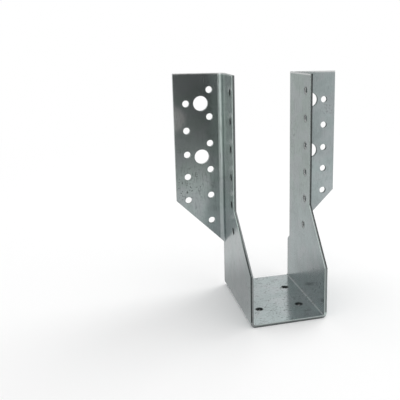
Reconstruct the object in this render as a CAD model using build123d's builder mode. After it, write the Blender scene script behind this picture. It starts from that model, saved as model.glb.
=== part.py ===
from build123d import *
import os

# Beam hanger, folded from one blank of galvanised sheet steel. The seat and the two walls make
# a stirrup round the end of the beam, and each wall turns outwards into a flange that lies on
# the header. Sizes are in millimetres. +Z is up and +Y points into the header. The origin is on
# the underside of the seat, in the middle of its width and depth.

# Sheet and folds
sheet = 2.0
seat_fold_inside = 1.0  # radii of the fold between the seat and a wall; the sheet thins a little
seat_fold_outside = 3.6
flange_bend = 3.0  # inside radius between a wall and its flange
bend_fade = 4.0  # height over which the foot of the flange bend runs out into the flat wall

# Stirrup
beam_width = 51.0  # clear width over the seat
beam_height = 165.0  # from the seat's upper face to the top edge
seat_depth = 78.0  # from the front edge to the header face
upper_depth = 41.5  # depth of a wall above its taper, to the header face
taper_foot = 36.5  # height at which the walls start to narrow
taper_head = 72.0  # height at which they have reached their upper depth
toe_out = 1.8  # how far the front edge of an upper wall stands outside the line of its fold

# Flanges
flange_width = 36.0  # from the wall's outer face to the free edge

# Nail holes
nail_hole = 5.0
nail_pitch = 20.0
nail_rows = 6
first_nail_drop = 12.0  # from the top edge, in the walls and in the flanges' inner columns
inner_nail_inset = 26.5  # from the flange's free edge
outer_nail_inset = 9.0
outer_nail_drops = (22.0, 42.0, 60.0, 77.0, 95.0)
wall_nail_inset = 7.5  # from the front edge of the upper wall
seat_nail_spacing = 30.0
seat_nail_insets = (24.0, 55.5)  # from the header face

# Bolt holes
bolt_hole = 11.0
bolt_inset = 20.0
bolt_pitch = 40.0
bolt_rows = 2
first_bolt_drop = 22.0

# Places that follow from the sizes
overall_height = sheet + beam_height
wall_inner = beam_width / 2
wall_outer = wall_inner + sheet
wall_middle = wall_inner + sheet / 2
flange_edge = wall_outer + flange_width
header_face = seat_depth / 2
bend_line = header_face - sheet - flange_bend  # where a wall stops being flat
upper_front = header_face - upper_depth

front_view = Plane.XZ.offset(-header_face)  # drawn on the header face, looking along +Y


def wall_section(depth, toe):
    """Cut through one upper wall: a strip that leaves the bend line and toes out to its front."""
    front = header_face - depth
    Polygon(
        (wall_inner, bend_line),
        (wall_outer, bend_line),
        (wall_outer + toe, front),
        (wall_inner + toe, front),
        align=None,
    )


def column_heights(first, pitch, rows):
    """Heights of a column of holes, worked down from the top edge."""
    return [overall_height - first - pitch * row for row in range(rows)]


def both_flanges(inset, heights):
    """Hole places in both flanges, a given distance in from their free edges."""
    across = flange_edge - inset
    return [(side * across, height) for side in (-1, 1) for height in heights]


with BuildPart() as hanger:
    # Half of the seat with the foot of its wall: one bent strip, seen from the front.
    with BuildSketch(front_view) as strip:
        Polygon(
            (0, 0),
            (wall_outer, 0),
            (wall_outer, taper_foot),
            (wall_inner, taper_foot),
            (wall_inner, sheet),
            (0, sheet),
            align=None,
        )
        fillet(strip.vertices().sort_by_distance((wall_outer, 0))[0], radius=seat_fold_outside)
        fillet(strip.vertices().sort_by_distance((wall_inner, sheet))[0], radius=seat_fold_inside)
    extrude(amount=seat_depth)

    # The wall narrows towards the header and toes out as it rises, and then runs straight up.
    with BuildSketch(Plane.XY.offset(taper_foot)):
        wall_section(seat_depth, 0)
    with BuildSketch(Plane.XY.offset(taper_head)):
        wall_section(upper_depth, toe_out)
    loft(ruled=True)
    with BuildSketch(Plane.XY.offset(taper_head)):
        wall_section(upper_depth, toe_out)
    extrude(amount=overall_height - taper_head)

    # The wall turns out into the flange, seen from above.
    with BuildSketch(Plane.XY.offset(taper_foot)):
        with BuildLine():
            turn = JernArc(
                start=(wall_middle, bend_line),
                tangent=(0, 1),
                radius=flange_bend + sheet / 2,
                arc_size=-90,
            )
            Line(turn @ 1, (flange_edge, header_face - sheet / 2))
        trace(line_width=sheet)
    extrude(amount=overall_height - taper_foot)

    # The foot of the flange is cut on the slant, from the wall to the free edge.
    with BuildSketch(front_view):
        Polygon(
            (wall_outer, taper_foot),
            (flange_edge, taper_head),
            (flange_edge, taper_foot),
            align=None,
        )
    extrude(amount=header_face - bend_line, mode=Mode.SUBTRACT)

    # Below the flange the rounded bend fades into the square edge of the wall.
    bend_centre = wall_outer + flange_bend
    past_corner = wall_inner - (flange_bend + sheet) / 2
    with BuildSketch(Plane.XZ.offset(-bend_line)):
        Polygon(
            (wall_inner, taper_foot),
            (past_corner, taper_foot),
            (past_corner, taper_foot - bend_fade),
            align=None,
        )
    revolve(
        axis=Axis((bend_centre, bend_line, 0), (0, 0, 1)),
        revolution_arc=-90,
        mode=Mode.SUBTRACT,
    )

    mirror(about=Plane.YZ)

    # Nail and bolt holes through both flanges.
    inner_nails = column_heights(first_nail_drop, nail_pitch, nail_rows)
    outer_nails = [overall_height - drop for drop in outer_nail_drops]
    bolts = column_heights(first_bolt_drop, bolt_pitch, bolt_rows)
    with BuildSketch(front_view):
        with Locations(*both_flanges(inner_nail_inset, inner_nails)):
            Circle(nail_hole / 2)
        with Locations(*both_flanges(outer_nail_inset, outer_nails)):
            Circle(nail_hole / 2)
        with Locations(*both_flanges(bolt_inset, bolts)):
            Circle(bolt_hole / 2)
    extrude(amount=sheet, mode=Mode.SUBTRACT)

    # Nail holes through both walls, level with the flanges' inner columns.
    with BuildSketch(Plane.YZ):
        with Locations(*[(upper_front + wall_nail_inset, height) for height in inner_nails]):
            Circle(nail_hole / 2)
    extrude(amount=wall_outer + toe_out, both=True, mode=Mode.SUBTRACT)

    # Nail holes in the seat.
    with BuildSketch(Plane.XY):
        for inset in seat_nail_insets:
            with Locations((0, header_face - inset)):
                with GridLocations(seat_nail_spacing, 0, 2, 1):
                    Circle(nail_hole / 2)
    extrude(amount=sheet, mode=Mode.SUBTRACT)

hanger.part.label = "hanger"

os.makedirs("parts", exist_ok=True)
export_step(hanger.part, "parts/hanger.step")
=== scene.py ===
"""Beam hanger folded from galvanised sheet steel, on a white studio floor.

The steel's shape comes from the CAD frame. This script gives it its finish: rolling streaks that
follow the sheet round its folds, zinc mottling, handling marks, dished rims round the punched
holes and sheared edges, with painted shade round the holes and in the crease, painted highlights
in the fold, along the top edge and on the cut rims, and a painted reflection on the left flange.
The steel's own values are in millimetres unless a comment says otherwise, and the studio's are in
metres.
"""

import math

import bmesh
import bpy
from mathutils import Matrix, Vector

MM_PER_METRE = 1000.0

# The hanger's own sizes. +Z is up, +Y points into the header, and the origin is on the underside
# of the seat, in the middle of its width and depth.
SHEET = 2.0
WALL_INNER = 25.5
WALL_OUTER = WALL_INNER + SHEET
SEAT_FOLD = 3.6  # outside radius of the fold between seat and wall
FLANGE_FOLD = 3.0  # inside radius of the fold between wall and flange
HEADER_FACE = 39.0
FLANGE_FRONT = HEADER_FACE - SHEET
FLANGE_START = WALL_OUTER + FLANGE_FOLD
FOLD_LINE = FLANGE_FRONT - FLANGE_FOLD  # where a wall stops being flat
UPPER_FRONT = -2.5  # front edge of a wall above its taper
TAPER_FOOT = 36.5
TAPER_HEAD = 72.0
TOE_OUT = 1.8  # how far an upper wall's front edge stands outside the line of its fold
NAIL_RADIUS = 2.5
WALL_NAILS_Y = 5.0
LOWEST_WALL_NAIL = 55.0
NAIL_PITCH = 20.0
WALL_NAILS_Z = [LOWEST_WALL_NAIL + NAIL_PITCH * row for row in range(6)]
SEAT_NAILS_X = 15.0
SEAT_NAILS_Y = (15.0, -16.5)

# Limits of the sheet's regions. Each pair is where a mask is 0 and where it is 1.
ON_SEAT_Z = (SEAT_FOLD + 0.6, SEAT_FOLD)
ON_FLANGE_OUT = (FLANGE_START - 0.2, FLANGE_START)
ON_FLANGE_Y = (FOLD_LINE, FOLD_LINE + 0.2)
IN_FOLD_Y = (FOLD_LINE, FOLD_LINE + 0.1)
LEFT_SIDE_X = (-20.0, -24.0)
RIGHT_WALL_X = (20.0, 25.0)
RIGHT_EDGE_X = (22.0, 25.0)
PAST_LEFT_CORNER_X = (-22.0, -25.0)

# Cut faces. A face that looks straight out of the sheet isn't cut, and one that looks along it is.
LOOKS_OUT_OF_SHEET = (0.5, 0.7)
LOOKS_ALONG_SHEET = (0.4, 0.6)
LOOKS_OUT_OF_SEAT = (0.3, 0.5)
SEAT_BORES_OUT = (22.0, 21.5)
SEAT_BORES_Y = (30.0, 29.0)

# Sheared edges. A place through the sheet is 0 on the face towards the beam and the header, and
# 1 on the other face.
TORN_PART = (0.42, 0.58)
RAGGEDNESS = 0.5
# The rims of the cut faces are zinc-coated and rounded, and painted lighter than the zinc as a
# highlight, the outer rim on the left side only.
LEFT_HIGHLIGHT_THROUGH = (0.66, 0.80)
LEFT_HIGHLIGHT_Z = (45.0, 65.0)
INNER_RIM_THROUGH = (0.25, 0.12)
LOW_EDGE_Z = (TAPER_FOOT + 2.0, TAPER_FOOT - 2.0)
SEAT_EDGE_PALENESS = 0.35

# Dished rims round the punched holes, painted shade on the rims and in the crease between seat
# and wall, and a painted highlight along the top edge.
WALL_DISH_REACH = 6.0
WALL_BORE_DISH = (0.97, 0.99)
# Painted shade: a darker ring of zinc close round each wall hole, on its rolled rim.
WALL_RIM_SHADE_RANGE = (0.72, 0.92)
WALL_RIM_SHADE_STRENGTH = 0.25
# Painted shade: a dark ring of zinc round each hole in the seat.
SEAT_HOLE_SHADE_REACH = 3.6
SEAT_HOLE_SHADE_STRENGTH = 0.8
# Painted shade in the crease between seat and wall, on its inner side.
CREASE_START_Z = (SHEET, SHEET + 0.3)
CREASE_END_Z = (SHEET + 1.2, SHEET + 0.9)
CREASE_OUT = (24.4, 24.8)
CREASE_THROUGH = (0.2, 0.4)
CREASE_SHADE_STRENGTH = 0.4
# Painted highlight: a light line along the top edge.
TOP_HIGHLIGHT_Z = (165.7, 166.4)
TOP_HIGHLIGHT_STRENGTH = 0.7

# Noises: the scale per millimetre of their place, the detail and the roughness.
STREAKS = (1.1, 4.0, 0.65)
FINE_STREAKS = (4.5, 2.0, 0.6)
CLOUDS = (0.045, 3.0, 0.55)
MOTTLE = (0.42, 2.0, 0.6)
BLOOM = (0.07, 2.0, 0.6)
RAGGED = (1.6, 3.0, 0.7)
DASHES = (1.0, 1.0, 0.5)
HANDLED = (0.055, 1.0, 0.5)
SPECKS = (0.75, 2.0, 0.5)
WANDER = (0.3, 2.0, 0.5)
SCUFFS = (0.2, 2.0, 0.5)
SCRATCHES = (0.03, 3.0, 0.5)
STREAK_STRETCH = (0.035, 1.0, 0.02)  # along the blank, over its width, and outwards
DASH_STRETCH = (0.16, 1.5, 0.02)

# Tone of the zinc: how far each pattern sways it, and where the sheet is calmer.
STREAK_TONE = 0.35
FINE_STREAK_TONE = 0.25
CLOUD_TONE = 0.6
MOTTLE_TONE = 0.25
SEAT_FRONT_TONE = 0.15
SEAT_FRONT_Y = (-10.0, -35.0)
TONE_RANGE = (0.1, 0.9)
CALM_Z = (80.0, 40.0)
CALM_X = (20.0, 30.0)
CALM_STRENGTH = 0.65
COOL_Z = (100.0, 40.0)
COOL_X = (30.0, 40.0)
BLOOM_RANGE = (0.42, 0.62)
BLOOM_STRENGTH = 0.5
# Painted highlight: lighter zinc up the fold between wall and flange.
FOLD_HIGHLIGHT_Z = (80.0, 150.0)
FOLD_HIGHLIGHT_STRENGTH = 0.6
REFLECTION_PATCH_PLACE = (-64.0, 37.0, 134.0)  # a painted reflection: a lighter patch on the left flange
REFLECTION_PATCH_REACH = (11.5, 6.0)
REFLECTION_PATCH_STRENGTH = 0.85

# Handling marks: where each kind starts and is full, and how dark it is.
DASH_RANGE = (0.60, 0.70)
DASH_STRENGTH = 0.45
SEAT_DASH_LOSS = 0.5
HANDLED_RANGE = (0.56, 0.66)
HANDLED_ELSEWHERE = 0.5
HANDLED_PLACES = ((-55.0, 37.0, 85.0), (25.0, -25.0, 18.0), (-12.0, -25.0, 0.0))
HANDLED_REACH = (22.0, 6.0)
HANDLED_SEAT = 0.55
HANDLED_SEAT_SWAY = 0.4
HANDLED_SEAT_CLOUDS = (0.45, 0.55)
SPECK_RANGE = (0.61, 0.66)
SPECK_STRENGTH = 0.8
SCUFF_WIDTH = (0.035, 0.0)
SCUFF_WANDER = (0.57, 0.63)
SCUFFS_ELSEWHERE = 0.2
SCUFF_STRENGTH = 0.5
SCRATCH_WIDTH = (0.006, 0.0)
SCRATCH_WANDER = (0.40, 0.5)
SCRATCH_STRENGTH = 0.5

# Gloss and relief.
ZINC_ROUGHNESS = 0.17
TONE_ROUGHNESS = -0.10
MARK_ROUGHNESS = 0.2
DULL_WALL_ROUGHNESS = 0.07
DULL_WALL_Z = (45.0, 25.0)
CUT_ROUGHNESS = 0.38
TORN_ROUGHNESS = 0.25
BORE_ROUGHNESS = 0.3
STREAK_RELIEF = 0.004
FINE_STREAK_RELIEF = 0.002
DISH_RELIEF = -0.08
TORN_RELIEF = 0.05
RELIEF_HEIGHT = 0.001  # metres
EDGE_ROUNDING = 0.0005  # metres
EDGE_SAMPLES = 6

# Tints, each of which a brightness turns into a colour.
WHITE = (1.0, 1.0, 1.0)
ZINC_TINT = (0.87, 1.0, 0.955)
COOL_TINT = (0.87, 1.0, 1.0)
BLOOM_TINT = (0.93, 0.98, 1.01)
# Tint of the painted reflection on the left flange.
REFLECTION_PATCH_TINT = (0.98, 1.0, 0.98)
SHEARED_TINT = (0.92, 0.98, 0.98)
TORN_TINT = (0.88, 1.0, 0.98)

# The floor, and the card that lies on it round the hanger.
FLOOR_RADIUS = 20.0
FLOOR_SIDES = 64
FLOOR_LEVEL = 0.95
FLOOR_FADE = (0.06, 0.9)  # distances over which it runs out into the background's white
CARD_LIFT = 0.0005
CARD_SHADE = (-0.045, 0.02)  # the middle of the card's painted shadow, its darker part

# The lamp and the surroundings.
SKY_LEVEL = 0.94
LAMP_PLACE = Vector((0.75, 0.45, 0.9))
LAMP_TARGET = Vector((0, 0, 0.08))
LAMP_SIZE = 0.8
LAMP_WATTS = 3.5

# The camera. Its angles are in degrees, and its sensor and lens in millimetres.
CAMERA_PLACE = (-0.1231, -0.38766, 0.18724)
CAMERA_TURN = -16.40
CAMERA_DIP = 12.16
CAMERA_ROLL = -0.35
CAMERA_SENSOR = 36.0
CAMERA_LENS = 52.42
CAMERA_SHIFT = (-0.15, -0.075)
CAMERA_RANGE = (0.01, 100.0)


def grey(level, tint=WHITE):
    """An opaque colour: a brightness with a tint."""
    return tuple(level * part for part in tint) + (1.0,)


# Colours of the zinc.
DARK_ZINC = grey(0.32, ZINC_TINT)
LIGHT_ZINC = grey(0.50, ZINC_TINT)
DARK_COOL_ZINC = grey(0.32, COOL_TINT)
LIGHT_COOL_ZINC = grey(0.50, COOL_TINT)
BLOOM_ZINC = grey(0.44, BLOOM_TINT)
# Painted highlight in the fold between wall and flange.
FOLD_HIGHLIGHT_ZINC = grey(0.60, ZINC_TINT)
# Painted reflection: the lighter patch on the left flange.
REFLECTION_PATCH_ZINC = grey(0.60, REFLECTION_PATCH_TINT)
MARKED_ZINC = grey(0.11, ZINC_TINT)
# Painted highlight along the top edge.
TOP_HIGHLIGHT_ZINC = grey(0.85)
# Painted shade, for the rims round the wall holes and for the crease.
PAINTED_SHADE_ZINC = grey(0.10)
# Painted shade round the seat holes.
SEAT_HOLE_SHADE_ZINC = grey(0.08, COOL_TINT)

# Colours of the cut faces.
SHEARED = grey(0.30, SHEARED_TINT)
TORN = grey(0.08, TORN_TINT)
TORN_LOW = grey(0.30, TORN_TINT)
# Rims of the cut faces: zinc colour made lighter as a painted highlight.
RIM_ZINC_AND_HIGHLIGHT = grey(0.68, ZINC_TINT)
LOW_RIM_ZINC_AND_HIGHLIGHT = grey(0.6, ZINC_TINT)
WALL_BORE = grey(0.6)
# Torn bores of the seat holes, darkened further with painted shade.
SEAT_BORE = grey(0.10, COOL_TINT)


class Value:
    """A shader socket that takes part in ordinary arithmetic, adding a Math node each time."""

    def __init__(self, shader, socket):
        self.shader = shader
        self.socket = socket

    def maths(self, operation, *terms):
        inputs = dict(enumerate(terms))
        return self.shader.add("ShaderNodeMath", {"operation": operation}, inputs)

    def __add__(self, other):
        return self.maths("ADD", self, other)

    __radd__ = __add__

    def __sub__(self, other):
        return self.maths("SUBTRACT", self, other)

    def __rsub__(self, other):
        return self.maths("SUBTRACT", other, self)

    def __mul__(self, other):
        return self.maths("MULTIPLY", self, other)

    __rmul__ = __mul__

    def __truediv__(self, other):
        return self.maths("DIVIDE", self, other)

    def __rtruediv__(self, other):
        return self.maths("DIVIDE", other, self)

    def __abs__(self):
        return self.maths("ABSOLUTE", self)

    def root(self):
        return self.maths("SQRT", self)

    def sign(self):
        return self.maths("SIGN", self)

    def least(self, other):
        return self.maths("MINIMUM", self, other)

    def most(self, other):
        return self.maths("MAXIMUM", self, other)

    def clamped(self):
        return self.most(0.0).least(1.0)

    def ramp(self, start, end):
        """0 before start, 1 past end and a soft rise between them; start may be the larger."""
        settings = {"interpolation_type": "SMOOTHSTEP"}
        limits = {"Value": self, "From Min": min(start, end), "From Max": max(start, end)}
        rising = self.shader.add("ShaderNodeMapRange", settings, limits)
        return rising if start < end else 1 - rising


class Shader:
    """The node tree of a material or of the world."""

    def __init__(self, owner):
        owner.use_nodes = True
        self.tree = owner.node_tree
        self.tree.nodes.clear()

    def add(self, kind, settings=None, inputs=None, output=0):
        """Adds a node, sets it up, feeds its sockets and hands back one of its outputs."""
        node = self.tree.nodes.new(kind)
        for name, setting in (settings or {}).items():
            setattr(node, name, setting)
        for name, source in (inputs or {}).items():
            if isinstance(source, Value):
                self.tree.links.new(source.socket, node.inputs[name])
            else:
                node.inputs[name].default_value = source
        if len(node.outputs) == 0:
            return None
        return Value(self, node.outputs[output])

    def object_place(self):
        """The place of a point in its object, in metres."""
        return self.add("ShaderNodeTexCoord", output="Object")

    def vector(self, x, y, z):
        return self.add("ShaderNodeCombineXYZ", None, {"X": x, "Y": y, "Z": z})

    def split(self, vector):
        """The three parts of a vector."""
        return [self.add("ShaderNodeSeparateXYZ", None, {0: vector}, part) for part in "XYZ"]

    def distance(self, place, centre):
        """How far a place is from a fixed point."""
        settings = {"operation": "DISTANCE"}
        return self.add("ShaderNodeVectorMath", settings, {0: place, 1: centre}, "Value")

    def noise(self, place, pattern):
        scale, detail, roughness = pattern
        inputs = {"Vector": place, "Scale": scale, "Detail": detail, "Roughness": roughness}
        return self.add("ShaderNodeTexNoise", None, inputs)

    def blend(self, mask, below, above):
        """One colour over another, by a mask. Sockets 6, 7 and 2 are the node's colour ones."""
        settings = {"data_type": "RGBA"}
        return self.add("ShaderNodeMix", settings, {0: mask, 6: below, 7: above}, 2)

    def layer(self, mask, below, above):
        """One surface over another, by a mask."""
        return self.add("ShaderNodeMixShader", None, {0: mask, 1: below, 2: above})

    def emission(self, colour):
        return self.add("ShaderNodeEmission", None, {"Color": colour, "Strength": 1.0})

    def surface(self, source):
        self.add("ShaderNodeOutputMaterial", None, {"Surface": source})


class Sheet:
    """Where a point lies on the folded sheet, as shader values in the hanger's millimetres."""

    def __init__(self, shader):
        scaled = {"Vector": shader.object_place(), "Scale": MM_PER_METRE}
        self.place = shader.add("ShaderNodeVectorMath", {"operation": "SCALE"}, scaled)
        self.x, self.y, self.z = shader.split(self.place)
        self.out = abs(self.x)
        self.unfold()
        self.find_regions()
        self.find_cut_faces(shader)
        self.find_depth()

    def unfold(self):
        """Where the point lay before folding, along the blank and over its width."""
        beside = (self.out - WALL_OUTER).most(0.0)
        climb = (self.z - SEAT_FOLD).most(0.0)
        self.along = self.x.most(-WALL_OUTER).least(WALL_OUTER) + self.x.sign() * climb
        self.over = self.y + beside

    def stretched(self, shader, stretch):
        """The unfolded place for a streaked noise, scaled along, over and out of the blank."""
        along, over, out = stretch
        return shader.vector(self.along * along, self.over * over, self.out * out)

    def find_regions(self):
        """Masks of the seat, the flanges, the folds beside them and the flat walls."""
        self.on_seat = self.z.ramp(*ON_SEAT_Z)
        self.upright = 1 - self.on_seat
        self.on_flange = self.out.ramp(*ON_FLANGE_OUT) * self.y.ramp(*ON_FLANGE_Y)
        self.in_fold = self.y.ramp(*IN_FOLD_Y) * (1 - self.on_flange)
        self.on_wall = self.upright * (1 - self.on_flange) * (1 - self.in_fold)

    def find_cut_faces(self, shader):
        """A mask of the cut faces, which stand square to the sheet."""
        facing = shader.add("ShaderNodeNewGeometry", output="True Normal")
        facing_x, facing_y, facing_z = [abs(part) for part in shader.split(facing)]
        self.seat_bore = 1 - facing_z.ramp(*LOOKS_OUT_OF_SEAT)
        self.seat_bore = self.seat_bore * self.out.ramp(*SEAT_BORES_OUT)
        self.seat_bore = self.seat_bore * abs(self.y).ramp(*SEAT_BORES_Y)
        cut_seat = facing_y.ramp(*LOOKS_ALONG_SHEET).most(self.seat_bore)
        cut_wall = 1 - facing_x.ramp(*LOOKS_OUT_OF_SHEET)
        cut_fold = facing_z.ramp(*LOOKS_ALONG_SHEET)
        cut_flange = 1 - facing_y.ramp(*LOOKS_OUT_OF_SHEET)
        cut = self.on_seat * cut_seat + self.on_wall * cut_wall
        cut = cut + self.upright * self.in_fold * cut_fold
        self.cut = (cut + self.upright * self.on_flange * cut_flange).least(1.0)

    def find_depth(self):
        """How far through the sheet the point lies, from the face towards beam and header."""
        rise = ((self.z - TAPER_FOOT) / (TAPER_HEAD - TAPER_FOOT)).clamped()
        front_edge = -HEADER_FACE + rise * (UPPER_FRONT + HEADER_FACE)
        toe = rise * TOE_OUT * ((FOLD_LINE - self.y) / (FOLD_LINE - front_edge)).clamped()
        self.through_wall = (self.out - WALL_INNER - toe) / SHEET
        through_flange = (HEADER_FACE - self.y) / SHEET
        through_seat = (SHEET - self.z) / SHEET
        through = self.through_wall * self.on_wall
        through = through + through_flange * self.upright * self.on_flange
        through = through + through_seat * self.on_seat
        self.through = through + self.upright * self.in_fold * 0.5


def near_holes(row_place, rows, cross_place, reach):
    """How close a point is to a hole of a column: 1 up to its rim, 0 beyond reach."""
    distance = None
    for row in rows:
        down = row_place - row
        from_hole = (down * down + cross_place * cross_place).root()
        distance = from_hole if distance is None else distance.least(from_hole)
    return distance.ramp(reach, NAIL_RADIUS)


def handling_marks(shader, sheet, calm, clouds):
    """A mask of dashes along the sheet, specks that keep together, scuffs and scratches."""
    dashes = shader.noise(sheet.stretched(shader, DASH_STRETCH), DASHES).ramp(*DASH_RANGE)
    dashes = dashes * (1 - sheet.on_seat * SEAT_DASH_LOSS)

    handled = shader.noise(sheet.place, HANDLED).ramp(*HANDLED_RANGE) * HANDLED_ELSEWHERE
    for handled_place in HANDLED_PLACES:
        apart = shader.distance(sheet.place, handled_place)
        handled = handled.most(apart.ramp(*HANDLED_REACH))
    handled_seat = HANDLED_SEAT + clouds.ramp(*HANDLED_SEAT_CLOUDS) * HANDLED_SEAT_SWAY
    handled = handled.most(sheet.on_seat * handled_seat)
    specks = shader.noise(sheet.place, SPECKS).ramp(*SPECK_RANGE) * handled

    wander = shader.noise(sheet.place, WANDER)
    scuffs = abs(shader.noise(sheet.place, SCUFFS) - 0.5).ramp(*SCUFF_WIDTH)
    scuffed = SCUFFS_ELSEWHERE + sheet.on_seat * (1 - SCUFFS_ELSEWHERE)
    scuffs = scuffs * wander.ramp(*SCUFF_WANDER) * scuffed
    scratches = abs(shader.noise(sheet.place, SCRATCHES) - 0.5).ramp(*SCRATCH_WIDTH)
    scratches = scratches * wander.ramp(*SCRATCH_WANDER) * sheet.on_seat

    marks = (dashes * calm * DASH_STRENGTH).most(specks * SPECK_STRENGTH)
    return marks.most(scuffs * SCUFF_STRENGTH).most(scratches * SCRATCH_STRENGTH)


def zinc_colour(shader, sheet, tone, marks, wall_dish):
    """The coated faces: cooler below, with a bloom, marks, painted highlights and reflection, and
    painted shade round the holes and in the crease.
    """
    cool = sheet.z.ramp(*COOL_Z).most(sheet.x.ramp(*COOL_X))
    dark_zinc = shader.blend(cool, DARK_ZINC, DARK_COOL_ZINC)
    light_zinc = shader.blend(cool, LIGHT_ZINC, LIGHT_COOL_ZINC)
    zinc = shader.blend(tone.ramp(*TONE_RANGE), dark_zinc, light_zinc)
    bloom = shader.noise(sheet.place, BLOOM).ramp(*BLOOM_RANGE)
    zinc = shader.blend(bloom * BLOOM_STRENGTH, zinc, BLOOM_ZINC)
    # Painted highlight: lighter zinc up the fold between wall and flange.
    fold_highlight = sheet.in_fold * sheet.z.ramp(*FOLD_HIGHLIGHT_Z)
    zinc = shader.blend(fold_highlight * FOLD_HIGHLIGHT_STRENGTH, zinc, FOLD_HIGHLIGHT_ZINC)
    # Painted reflection: a lighter patch of zinc on the left flange.
    reflection_patch = shader.distance(sheet.place, REFLECTION_PATCH_PLACE).ramp(*REFLECTION_PATCH_REACH)
    zinc = shader.blend(reflection_patch * REFLECTION_PATCH_STRENGTH, zinc, REFLECTION_PATCH_ZINC)
    zinc = shader.blend(marks, zinc, MARKED_ZINC)
    # Painted highlight: lighter zinc along the top edge.
    zinc = shader.blend(sheet.z.ramp(*TOP_HIGHLIGHT_Z) * TOP_HIGHLIGHT_STRENGTH, zinc, TOP_HIGHLIGHT_ZINC)
    # Painted shade: darker zinc close round the wall holes.
    zinc = shader.blend(wall_dish.ramp(*WALL_RIM_SHADE_RANGE) * WALL_RIM_SHADE_STRENGTH, zinc, PAINTED_SHADE_ZINC)
    # Painted shade: darker zinc in the inner crease between seat and wall.
    crease = sheet.z.ramp(*CREASE_START_Z) * sheet.z.ramp(*CREASE_END_Z)
    crease = crease * sheet.out.ramp(*CREASE_OUT)
    crease = crease * (1 - sheet.through_wall.ramp(*CREASE_THROUGH))
    zinc = shader.blend(crease * CREASE_SHADE_STRENGTH, zinc, PAINTED_SHADE_ZINC)
    # Painted shade: a dark ring round each seat hole.
    from_column = sheet.out - SEAT_NAILS_X
    seat_hole_shade = near_holes(sheet.y, SEAT_NAILS_Y, from_column, SEAT_HOLE_SHADE_REACH)
    seat_hole_shade = seat_hole_shade * sheet.on_seat
    return shader.blend(seat_hole_shade * SEAT_HOLE_SHADE_STRENGTH, zinc, SEAT_HOLE_SHADE_ZINC)


def cut_colour(shader, sheet, torn, wall_bore):
    """The cut faces: sheared smooth on one side, torn dark on the other, with a zinc rim lightened
    as a painted highlight, and seat bores darkened with painted shade.
    """
    # Painted highlight on the rounded, zinc-coated rims of the cut faces; the outer rim on the
    # left only.
    left_side = sheet.x.ramp(*LEFT_SIDE_X) * sheet.upright
    left_rim_highlight = sheet.through.ramp(*LEFT_HIGHLIGHT_THROUGH) * left_side * sheet.z.ramp(*LEFT_HIGHLIGHT_Z)
    inner_rim = sheet.through.ramp(*INNER_RIM_THROUGH)
    rim_zinc_and_highlight = left_rim_highlight + inner_rim * (1 - sheet.x.ramp(*PAST_LEFT_CORNER_X))

    right_edge = sheet.x.ramp(*RIGHT_EDGE_X)
    low_edge = sheet.z.ramp(*LOW_EDGE_Z) * right_edge
    low_edge = low_edge.most(sheet.on_seat * SEAT_EDGE_PALENESS).most(wall_bore * right_edge)
    fracture = shader.blend(low_edge, TORN, TORN_LOW)
    rim = shader.blend(low_edge, RIM_ZINC_AND_HIGHLIGHT, LOW_RIM_ZINC_AND_HIGHLIGHT)

    colour = shader.blend(torn, SHEARED, fracture)
    smooth_bore = wall_bore * (1 - torn) * (1 - rim_zinc_and_highlight)
    colour = shader.blend(smooth_bore, colour, WALL_BORE)
    colour = shader.blend(rim_zinc_and_highlight * (1 - wall_bore), colour, rim)
    # The seat bores: torn, and darkened with painted shade.
    return shader.blend(sheet.seat_bore * sheet.on_seat, colour, SEAT_BORE)


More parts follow.
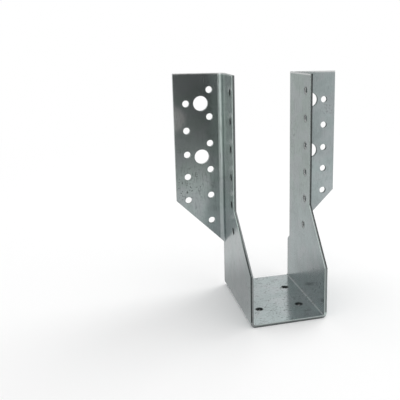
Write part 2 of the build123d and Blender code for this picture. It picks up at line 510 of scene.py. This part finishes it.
def galvanised_steel():
    """Zinc-coated sheet: semi-gloss, finely streaked along the sheet, dull where it was cut."""
    material = bpy.data.materials.new("galvanised_steel")
    shader = Shader(material)
    sheet = Sheet(shader)

    unfolded = sheet.stretched(shader, STREAK_STRETCH)
    streaks = shader.noise(unfolded, STREAKS)
    fine_streaks = shader.noise(unfolded, FINE_STREAKS)
    clouds = shader.noise(sheet.place, CLOUDS)
    mottle = shader.noise(sheet.place, MOTTLE)
    calm = 1 - sheet.z.ramp(*CALM_Z).most(sheet.x.ramp(*CALM_X)) * CALM_STRENGTH
    marks = handling_marks(shader, sheet, calm, clouds)

    tone = 0.5 + (streaks - 0.5) * STREAK_TONE * calm
    tone = tone + (fine_streaks - 0.5) * FINE_STREAK_TONE * calm
    tone = tone + (clouds - 0.5) * CLOUD_TONE + (mottle - 0.5) * MOTTLE_TONE
    tone = tone + sheet.on_seat * sheet.y.ramp(*SEAT_FRONT_Y) * SEAT_FRONT_TONE

    from_column = sheet.y - WALL_NAILS_Y
    wall_dish = near_holes(sheet.z, WALL_NAILS_Z, from_column, WALL_DISH_REACH)
    wall_dish = wall_dish * sheet.on_wall
    wall_bore = wall_dish.ramp(*WALL_BORE_DISH) * sheet.cut
    ragged = shader.noise(sheet.place, RAGGED)
    torn = (sheet.through + (ragged - 0.5) * RAGGEDNESS).ramp(*TORN_PART)
    zinc = zinc_colour(shader, sheet, tone, marks, wall_dish)
    cut_face = cut_colour(shader, sheet, torn, wall_bore)

    roughness = ZINC_ROUGHNESS + (tone - 0.5) * TONE_ROUGHNESS + marks * MARK_ROUGHNESS
    dull_wall = sheet.z.ramp(*DULL_WALL_Z) * sheet.x.ramp(*RIGHT_WALL_X) * sheet.upright
    roughness = roughness + dull_wall * DULL_WALL_ROUGHNESS
    cut_roughness = CUT_ROUGHNESS + torn * TORN_ROUGHNESS + wall_bore * BORE_ROUGHNESS
    roughness = roughness * (1 - sheet.cut) + sheet.cut * cut_roughness

    # Relief: streaks you can feel, the dish that a punch leaves round its hole, and torn edges.
    relief = (streaks * STREAK_RELIEF + fine_streaks * FINE_STREAK_RELIEF) * calm
    relief = relief + wall_dish * DISH_RELIEF + sheet.cut * ragged * TORN_RELIEF
    rounding = {"Radius": EDGE_ROUNDING}
    rounded = shader.add("ShaderNodeBevel", {"samples": EDGE_SAMPLES}, rounding)
    bumps = {"Strength": 1.0, "Distance": RELIEF_HEIGHT, "Height": relief, "Normal": rounded}
    finish = {
        "Base Color": shader.blend(sheet.cut, zinc, cut_face),
        "Metallic": 1.0,
        "Roughness": roughness,
        "Normal": shader.add("ShaderNodeBump", None, bumps),
    }
    shader.surface(shader.add("ShaderNodeBsdfPrincipled", None, finish))
    return material


def seen_directly(shader):
    """1 for the camera's rays and for those that come off metal or through glass."""
    rays = ("Is Camera Ray", "Is Glossy Ray", "Is Transmission Ray")
    camera, mirrored, through_glass = [
        shader.add("ShaderNodeLightPath", output=kind) for kind in rays
    ]
    return camera.most(mirrored).most(through_glass)


def white_floor():
    """A matt white floor that runs out into the white background."""
    material = bpy.data.materials.new("white_floor")
    shader = Shader(material)
    x, y = shader.split(shader.object_place())[:2]
    distance = (x * x + y * y).root()
    glow = seen_directly(shader) * distance.ramp(*FLOOR_FADE)
    matt = shader.add("ShaderNodeBsdfDiffuse", None, {"Color": grey(FLOOR_LEVEL)})
    shader.surface(shader.layer(glow, matt, shader.emission(grey(1.0))))
    return material


def studio_floor():
    mesh = bmesh.new()
    bmesh.ops.create_circle(mesh, cap_ends=True, radius=FLOOR_RADIUS, segments=FLOOR_SIDES)
    floor = finished("floor", mesh, white_floor())


def finished(name, mesh, material):
    """Turns a bmesh into an object of the scene."""
    data = bpy.data.meshes.new(name)
    mesh.to_mesh(data)
    mesh.free()
    data.materials.append(material)
    piece = bpy.data.objects.new(name, data)
    bpy.context.scene.collection.objects.link(piece)
    return piece


def turned(degrees, axis):
    return Matrix.Rotation(math.radians(degrees), 4, axis)


def standing_card(name, bearing, distance, width, heights, levels, fade=(0.0, 0.1)):
    """An upright studio card that faces the hanger.

    Its bearing is 0 straight in front of the hanger and grows towards +X. Its grey goes from the
    first level to the second over the heights of the fade.
    """
    foot, top = heights
    mesh = bmesh.new()
    bmesh.ops.create_grid(mesh, x_segments=1, y_segments=1, size=0.5)
    stand = Matrix.Translation((0, -distance, (foot + top) / 2))
    stretch = Matrix.Diagonal((width, top - foot, 1.0, 1.0))
    place = turned(bearing, "Z") @ stand @ turned(90.0, "X") @ stretch
    bmesh.ops.transform(mesh, matrix=place, verts=mesh.verts)
    shader = only_in_gloss(name, mesh)
    height = shader.split(shader.object_place())[2]
    self_lit(shader, height.ramp(*fade), levels)


def table_card(name, reach, shift, opening, levels, fade):
    """A sheet of card that lies on the floor round the hanger, darker close to it as a painted
    shadow of the hanger.

    Its outline reaches from the hanger's middle as far as reach says and is then shifted, and it
    has an opening for the hanger. Its grey goes from the first level to the second over the
    distances of the fade.
    """
    mesh = bmesh.new()
    # A circle of four sides, turned an eighth, is the square from -1 to 1.
    bmesh.ops.create_circle(mesh, cap_ends=False, radius=math.sqrt(2.0), segments=4)
    eighth_turn = turned(45.0, "Z").to_3x3()
    bmesh.ops.rotate(mesh, matrix=eighth_turn, verts=mesh.verts)
    outer = mesh.verts[:]
    copy = bmesh.ops.extrude_edge_only(mesh, edges=mesh.edges[:])
    inner = [part for part in copy["geom"] if isinstance(part, bmesh.types.BMVert)]
    bmesh.ops.scale(mesh, vec=reach, verts=outer)
    bmesh.ops.translate(mesh, vec=shift, verts=outer)
    bmesh.ops.scale(mesh, vec=opening, verts=inner)
    bmesh.ops.translate(mesh, vec=(0, 0, CARD_LIFT), verts=mesh.verts)
    shader = only_in_gloss(name, mesh)
    x, y = shader.split(shader.object_place())[:2]
    shade_x, shade_y = CARD_SHADE
    x, y = x - shade_x, y - shade_y
    # Painted shadow: the card is darker close to the hanger.
    self_lit(shader, (x * x + y * y).root().ramp(*fade), levels)


def self_lit(shader, mask, levels):
    """A surface of its own grey, from the first level to the second by a mask."""
    first, second = levels
    shader.surface(shader.emission(shader.blend(mask, grey(first), grey(second))))


def only_in_gloss(name, mesh):
    """Stands a card in the studio, hidden from all but the steel's reflections."""
    material = bpy.data.materials.new(name)
    piece = finished(name, mesh, material)
    piece.visible_camera = False
    piece.visible_diffuse = False
    piece.visible_shadow = False
    return Shader(material)


def studio_light():
    """White surroundings, and one large soft lamp above, behind and to the right."""
    shader = Shader(bpy.context.scene.world)
    glow, white = [
        shader.add("ShaderNodeBackground", None, {"Color": grey(1.0), "Strength": strength})
        for strength in (SKY_LEVEL, 1.0)
    ]
    sky = shader.layer(seen_directly(shader), glow, white)
    shader.add("ShaderNodeOutputWorld", None, {"Surface": sky})

    lamp = bpy.data.lights.new("soft_lamp", "AREA")
    lamp.shape = "DISK"
    lamp.size = LAMP_SIZE
    lamp.energy = LAMP_WATTS
    soft_lamp = bpy.data.objects.new("soft_lamp", lamp)
    soft_lamp.location = LAMP_PLACE
    aim = (LAMP_TARGET - LAMP_PLACE).to_track_quat("-Z", "Y")
    soft_lamp.rotation_euler = aim.to_euler()
    bpy.context.scene.collection.objects.link(soft_lamp)


def camera_as_photographed():
    """The camera stands a little left of the hanger and looks down on it."""
    data = bpy.data.cameras.new("camera")
    data.sensor_width = CAMERA_SENSOR
    data.lens = CAMERA_LENS
    data.shift_x, data.shift_y = CAMERA_SHIFT
    data.clip_start, data.clip_end = CAMERA_RANGE
    camera = bpy.data.objects.new("camera", data)
    aim = turned(CAMERA_TURN, "Z") @ turned(90.0 - CAMERA_DIP, "X") @ turned(CAMERA_ROLL, "Z")
    camera.matrix_world = Matrix.Translation(CAMERA_PLACE) @ aim
    bpy.context.scene.collection.objects.link(camera)
    bpy.context.scene.camera = camera


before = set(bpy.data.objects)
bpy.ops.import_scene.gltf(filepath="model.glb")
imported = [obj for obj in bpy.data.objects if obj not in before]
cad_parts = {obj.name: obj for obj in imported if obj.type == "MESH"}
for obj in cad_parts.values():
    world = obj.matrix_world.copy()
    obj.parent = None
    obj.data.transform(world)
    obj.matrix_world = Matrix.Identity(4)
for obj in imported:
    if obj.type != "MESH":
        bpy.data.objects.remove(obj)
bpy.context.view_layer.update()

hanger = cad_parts["hanger"]
steel = galvanised_steel()
for slot in hanger.material_slots:
    slot.material = steel

bpy.context.scene.world = bpy.data.worlds.new("studio")
bpy.context.scene.view_settings.view_transform = "Standard"
studio_floor()
studio_light()
standing_card(
    "dark_card",
    bearing=9.5,
    distance=0.36,
    width=0.235,
    heights=(0.0, 0.20),
    levels=(0.42, 0.115),
)
standing_card(
    "left_card",
    bearing=-26.0,
    distance=0.45,
    width=0.11,
    heights=(0.0, 0.8),
    levels=(0.32, 0.20),
)
standing_card(
    "glint_card",
    bearing=-4.2,
    distance=0.30,
    width=0.012,
    heights=(0.078, 0.112),
    levels=(0.9, 0.9),
)
standing_card(
    "right_card",
    bearing=30.0,
    distance=0.55,
    width=0.36,
    heights=(0.0, 0.55),
    levels=(0.84, 0.84),
)
standing_card(
    "back_card",
    bearing=199.0,
    distance=0.4,
    width=0.5,
    heights=(0.0, 0.5),
    levels=(0.75, 0.68),
    fade=(0.13, 0.18),
)
table_card(
    "table_card",
    reach=(0.28, 0.42, 1),
    shift=(-0.14, 0, 0),
    opening=(0.0285, 0.040, 1),
    levels=(0.50, 0.79),
    fade=(0.02, 0.09),
)
camera_as_photographed()
